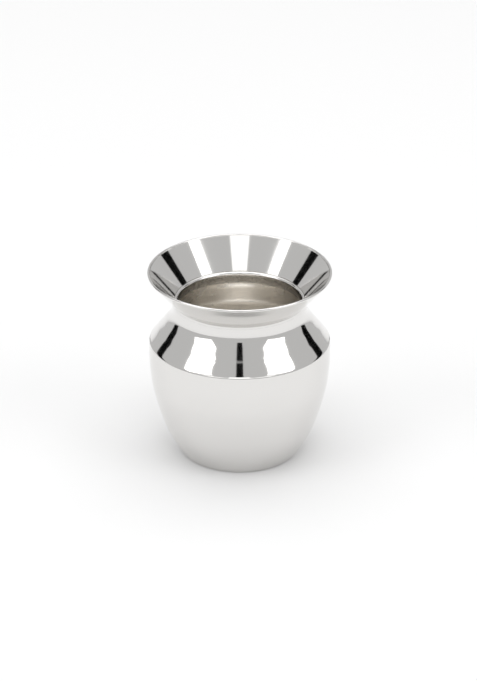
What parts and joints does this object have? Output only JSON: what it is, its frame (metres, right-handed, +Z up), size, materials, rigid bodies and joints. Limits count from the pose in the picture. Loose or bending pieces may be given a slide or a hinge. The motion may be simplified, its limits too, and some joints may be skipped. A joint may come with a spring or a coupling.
{
  "type": "kalash",
  "caption": "Round-bellied sheet-metal ritual vessel with a creased shoulder, narrow neck and flared wire-edged lip.",
  "frame": {"origin": "centre of the footprint, on the standing plane", "axes": "+Z up along the vessel's axis, towards the mouth"},
  "size_m": [0.065, 0.065, 0.0689],
  "materials": {
    "polished": "polished silver-coloured sheet metal",
    "satin": "satin, turned",
    "solder": "dull solder"
  },
  "bodies": {
    "root": {"bowl_body": "polished", "shoulder_shell": "polished", "neck_ring": "polished", "flared_lip": "polished", "rim_wire": "polished", "base_disc": "satin", "base_solder_seam": "solder", "shoulder_solder_seam": "solder", "neck_solder_seam": "solder"}
  },
  "joints": []
}
